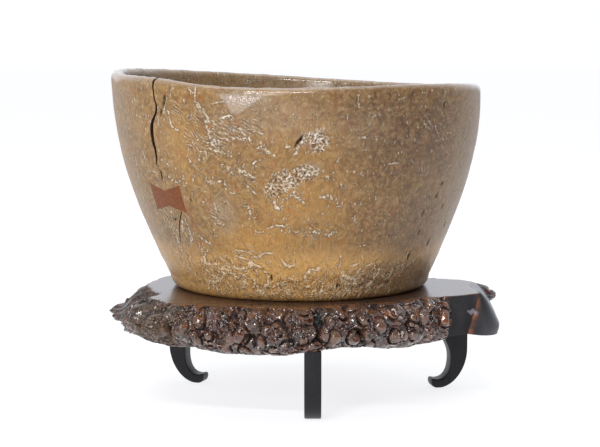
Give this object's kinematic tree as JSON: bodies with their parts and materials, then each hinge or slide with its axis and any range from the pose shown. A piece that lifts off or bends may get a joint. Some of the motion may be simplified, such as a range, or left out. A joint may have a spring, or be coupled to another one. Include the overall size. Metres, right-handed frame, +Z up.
{
  "type": "burl wood bowl on stand",
  "caption": "Hollow burl wood bowl with a butterfly-key repair, resting loose on a burl-edged slab stand with hooked legs.",
  "frame": {"origin": "on the floor, under the middle of the object's footprint", "axes": "+Z up, -Y towards the front of the picture, +X to its right"},
  "size_m": [0.234, 0.2192, 0.1946],
  "materials": {
    "bowl_burl": "waxed satin burl, honey brown with pale curls",
    "key_wood": "satin red-brown hardwood",
    "slab_burl": "polished dark red-brown burl",
    "leg_wood": "satin black hardwood"
  },
  "bodies": {
    "stand": {"burl_slab": "slab_burl", "leg_front": "leg_wood", "leg_left": "leg_wood", "leg_right": "leg_wood"},
    "bowl": {"bowl": "bowl_burl", "butterfly_key": "key_wood"}
  },
  "joints": [
    {"name": "bowl_lift", "type": "slide", "parent": "stand", "child": "bowl", "axis": [0, 0, 1], "range_m": [0, 0.15]}
  ]
}
